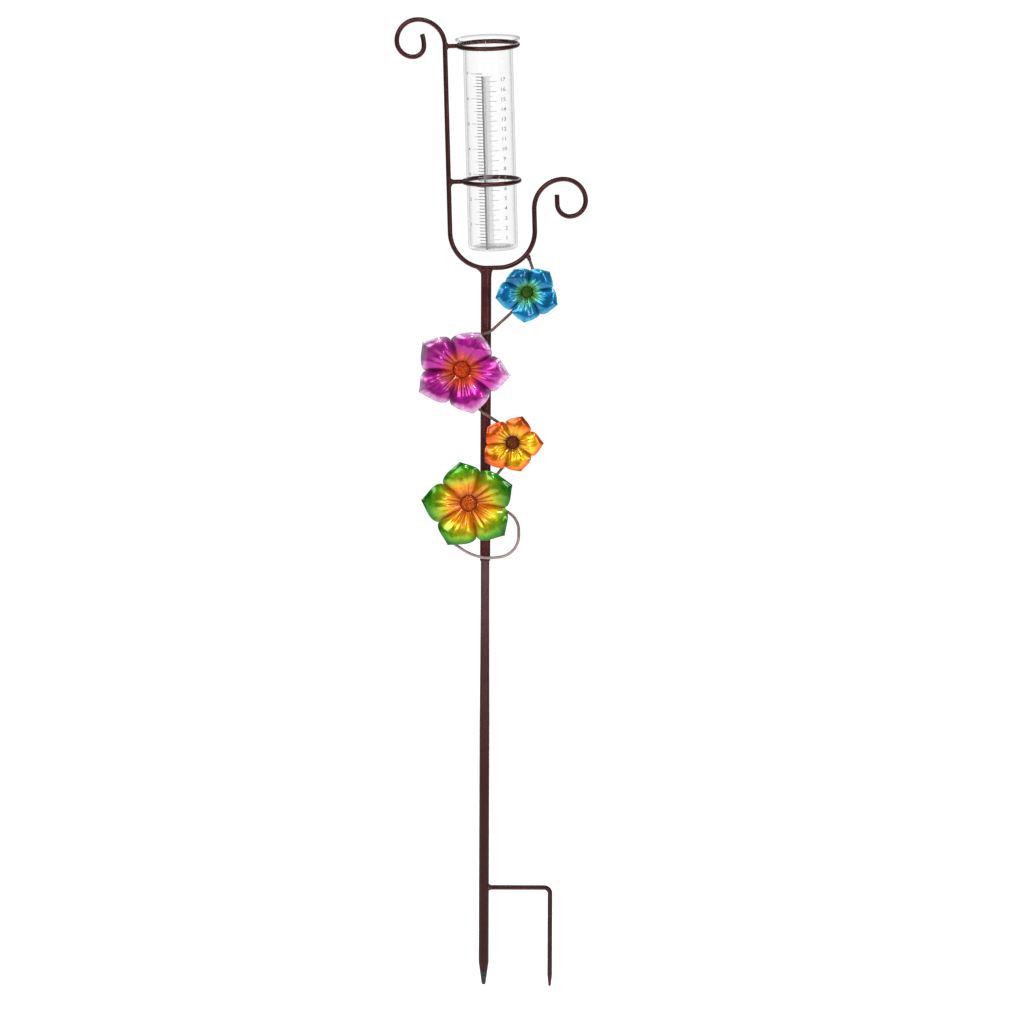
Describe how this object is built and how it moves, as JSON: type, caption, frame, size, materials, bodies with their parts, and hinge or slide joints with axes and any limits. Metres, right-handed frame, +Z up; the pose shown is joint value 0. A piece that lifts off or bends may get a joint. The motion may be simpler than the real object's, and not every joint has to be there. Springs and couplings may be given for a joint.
{
  "type": "rain gauge",
  "caption": "Garden-stake rain gauge: flared glass tube in two wire rings on a scrolled lyre frame, two-piece pole with side prong, enamelled metal flowers.",
  "frame": {"origin": "on the pole's axis at the soil line, just under the prong's arm", "axes": "+Z up along the pole, +X towards the ground prong, -Y the side the flowers face"},
  "size_m": [0.1946, 0.065, 0.9823],
  "materials": {
    "bronze_paint": "semi-gloss hammered bronze paint",
    "dark_wire": "satin dark bronze-grey paint",
    "blue_enamel": "gloss translucent lacquer",
    "purple_enamel": "gloss translucent lacquer",
    "orange_enamel": "gloss translucent lacquer",
    "green_enamel": "gloss translucent lacquer",
    "blue_centre_enamel": "stippled gloss lacquer",
    "purple_centre_enamel": "stippled gloss lacquer",
    "orange_centre_enamel": "stippled gloss lacquer",
    "green_centre_enamel": "stippled gloss lacquer",
    "rivet_steel": "plain",
    "clear_glass": "clear, polished"
  },
  "bodies": {
    "stake": {"lower_pole": "bronze_paint", "ground_prong": "bronze_paint", "prong_weld": "bronze_paint"},
    "head": {"upper_pole": "bronze_paint", "scroll_frame": "bronze_paint", "frame_weld": "bronze_paint", "upper_ring": "bronze_paint", "lower_ring": "bronze_paint", "ring_welds": "bronze_paint", "flower_vine": "dark_wire", "spiral_vine": "dark_wire", "vine_welds": "bronze_paint", "blue_petals": "blue_enamel", "blue_centre": "blue_centre_enamel", "blue_rivet": "rivet_steel", "purple_petals": "purple_enamel", "purple_centre": "purple_centre_enamel", "purple_rivet": "rivet_steel", "orange_petals": "orange_enamel", "orange_centre": "orange_centre_enamel", "orange_rivet": "rivet_steel", "green_petals": "green_enamel", "green_centre": "green_centre_enamel", "green_rivet": "rivet_steel"},
    "gauge": {"glass_tube": "clear_glass"}
  },
  "joints": [
    {"name": "head_swivel", "type": "hinge", "parent": "stake", "child": "head", "pos_m": [0, 0, 0.337], "axis": [0, 0, 1], "continuous": true},
    {"name": "tube_lift", "type": "slide", "parent": "head", "child": "gauge", "axis": [-0.0305, 0, 0.9995], "range_m": [0, 0.24]}
  ]
}
